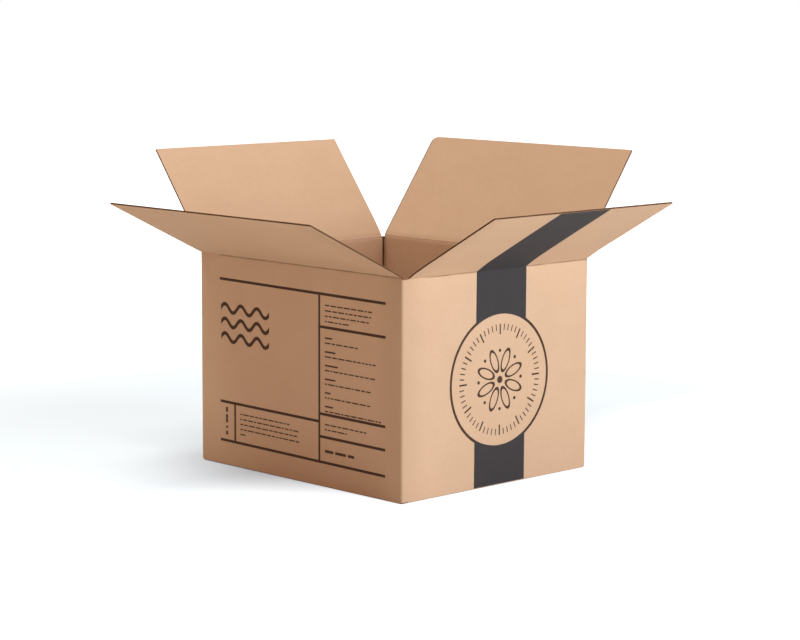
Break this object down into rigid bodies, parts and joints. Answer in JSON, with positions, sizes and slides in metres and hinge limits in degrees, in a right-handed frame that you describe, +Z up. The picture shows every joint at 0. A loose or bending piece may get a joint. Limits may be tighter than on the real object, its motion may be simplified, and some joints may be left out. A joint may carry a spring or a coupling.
{
  "type": "slotted corrugated carton",
  "caption": "Corrugated board carton with a closed glued floor and four hinged top flaps that swing from closed to folded back.",
  "frame": {"origin": "middle of the walls' footprint, on the floor's outer face", "axes": "+Z up; +X along the longer walls, towards the wall with the printed band; -Y faces out of the front wall with the printed rules"},
  "size_m": [0.4175, 0.3876, 0.2757],
  "materials": {
    "kraft_board": "uncoated brown kraft liner",
    "dark_ink": "matt flexographic ink on kraft"
  },
  "bodies": {
    "carton": {"carton": "kraft_board"},
    "front_flap": {"front_flap": "kraft_board"},
    "right_flap": {"right_flap": "kraft_board"},
    "back_flap": {"back_flap": "kraft_board"},
    "left_flap": {"left_flap": "kraft_board"}
  },
  "joints": [
    {"name": "front_flap_crease", "type": "hinge", "parent": "carton", "child": "front_flap", "pos_m": [0, -0.112, 0.1858], "axis": [1, 0, 0], "range_deg": [-154, 106]},
    {"name": "right_flap_crease", "type": "hinge", "parent": "carton", "child": "right_flap", "pos_m": [0.128, 0, 0.1842], "axis": [0, 1, 0], "range_deg": [-150, 110]},
    {"name": "back_flap_crease", "type": "hinge", "parent": "carton", "child": "back_flap", "pos_m": [0, 0.112, 0.1858], "axis": [-1, 0, 0], "range_deg": [-126, 134]},
    {"name": "left_flap_crease", "type": "hinge", "parent": "carton", "child": "left_flap", "pos_m": [-0.128, 0, 0.1842], "axis": [0, -1, 0], "range_deg": [-127, 133]}
  ]
}
